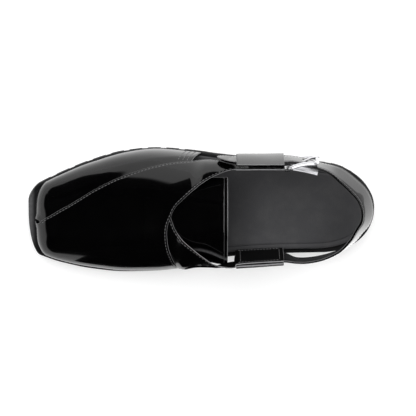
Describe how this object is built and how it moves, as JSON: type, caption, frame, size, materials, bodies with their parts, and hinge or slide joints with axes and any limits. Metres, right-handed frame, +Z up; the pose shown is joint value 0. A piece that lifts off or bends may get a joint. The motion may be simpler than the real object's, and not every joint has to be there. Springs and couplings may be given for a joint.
{
  "type": "peshawari chappal",
  "caption": "Leather sandal with a squared closed toe: crossed patent straps over a tongue, loops for a buckled heel strap, dark insole, lugged rubber sole with heel.",
  "frame": {"origin": "middle of the outer box in plan, on the floor under the sole", "axes": "+X from toe to heel, +Y to the lateral side where the buckle is, +Z up"},
  "size_m": [0.2898, 0.1061, 0.076],
  "materials": {
    "patent_leather": "black patent, mirror gloss",
    "insole_leather": "matte charcoal",
    "sole_rubber": "matte black",
    "buckle_steel": "polished nickel colour"
  },
  "bodies": {
    "root": {"outsole": "sole_rubber", "insole": "insole_leather", "upper": "patent_leather", "tongue": "patent_leather", "loop_lateral": "patent_leather", "loop_medial": "patent_leather", "back_strap": "patent_leather", "chape": "patent_leather", "buckle_frame": "buckle_steel", "buckle_prong": "buckle_steel", "buckle_plate": "buckle_steel"}
  },
  "joints": []
}
